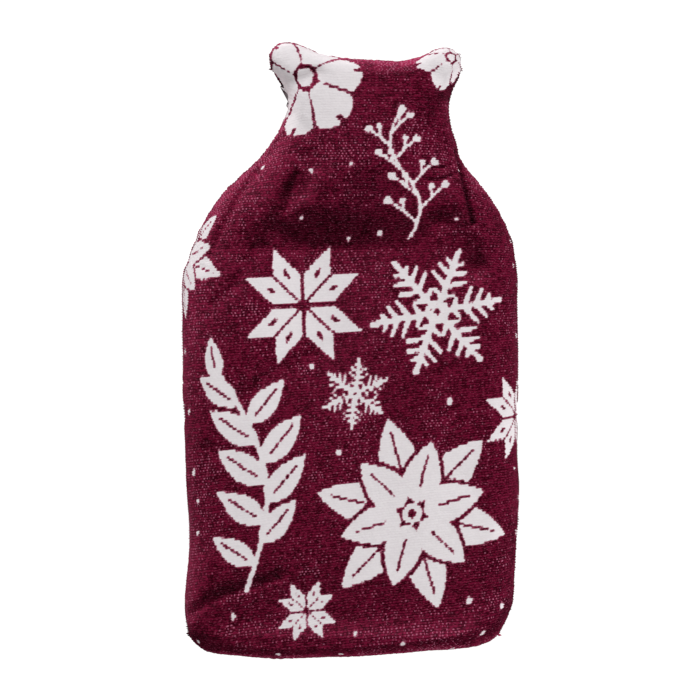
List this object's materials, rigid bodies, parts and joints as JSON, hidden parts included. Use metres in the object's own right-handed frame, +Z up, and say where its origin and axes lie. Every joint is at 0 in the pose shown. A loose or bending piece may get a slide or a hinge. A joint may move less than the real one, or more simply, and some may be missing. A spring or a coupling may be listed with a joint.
{
  "type": "hot water bottle cover",
  "caption": "Soft fitted cover for a flat hot water bottle: hollow cloth pouch with a narrow neck, two ears at the top and a lapped opening behind.",
  "frame": {"origin": "centre of the cover's bounding box, on the surface that its back lies on", "axes": "+Y along its length towards the neck and ears, +X to the right of the face, +Z up out of the face"},
  "size_m": [0.1974, 0.3598, 0.0417],
  "materials": {
    "chenille_cloth": "matt chenille with a fine crosswise rib, burgundy with white woven winter motifs"
  },
  "bodies": {
    "root": {"front_panel": "chenille_cloth", "back_upper_panel": "chenille_cloth", "back_lower_panel": "chenille_cloth"}
  },
  "joints": []
}
